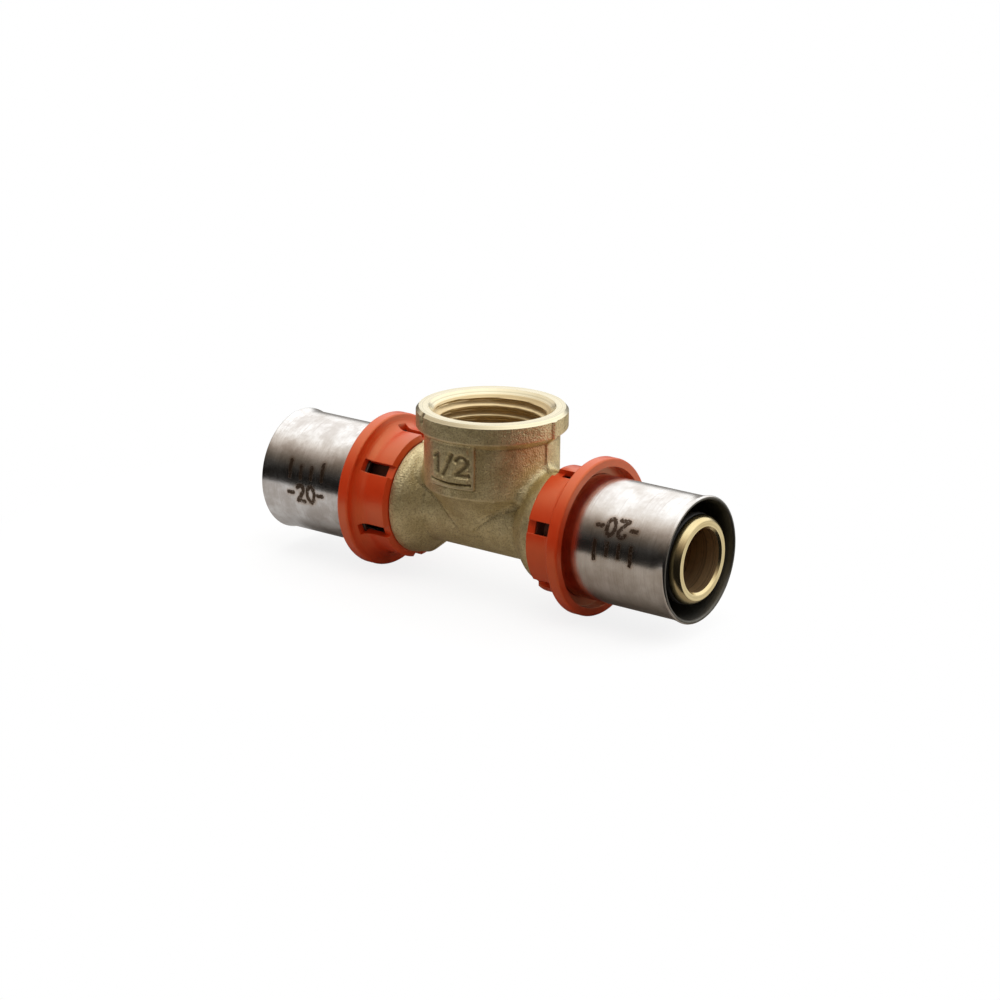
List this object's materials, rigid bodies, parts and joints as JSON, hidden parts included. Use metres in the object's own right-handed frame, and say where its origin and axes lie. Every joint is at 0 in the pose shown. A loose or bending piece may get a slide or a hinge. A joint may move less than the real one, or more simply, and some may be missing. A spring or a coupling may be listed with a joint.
{
  "type": "crimp tee",
  "caption": "Forged brass tee with a nipple on each side of the run, each under a flared steel press sleeve held by a moulded window ring, and a collared female threaded branch",
  "frame": {"origin": "where the run's axis and the branch's axis cross", "axes": "+X along the run to the right-hand pipe end, +Z along the branch out of its threaded mouth, -Y to the side with the raised pad"},
  "size_m": [0.0896, 0.028, 0.0336],
  "materials": {
    "forged_brass": "sand-blasted forging, matte olive gold, with turned bright edges at the branch's mouth, seats and nipples",
    "sleeve_steel": "drawn stainless tube, fine satin",
    "ring_plastic": "moulded orange-red plastic, semi-gloss",
    "seal_rubber": "smooth black rubber"
  },
  "bodies": {
    "root": {"tee_body": "forged_brass", "left_sleeve": "sleeve_steel", "right_sleeve": "sleeve_steel", "left_ring": "ring_plastic", "right_ring": "ring_plastic", "left_inner_o_ring": "seal_rubber", "left_outer_o_ring": "seal_rubber", "right_inner_o_ring": "seal_rubber", "right_outer_o_ring": "seal_rubber"}
  },
  "joints": []
}
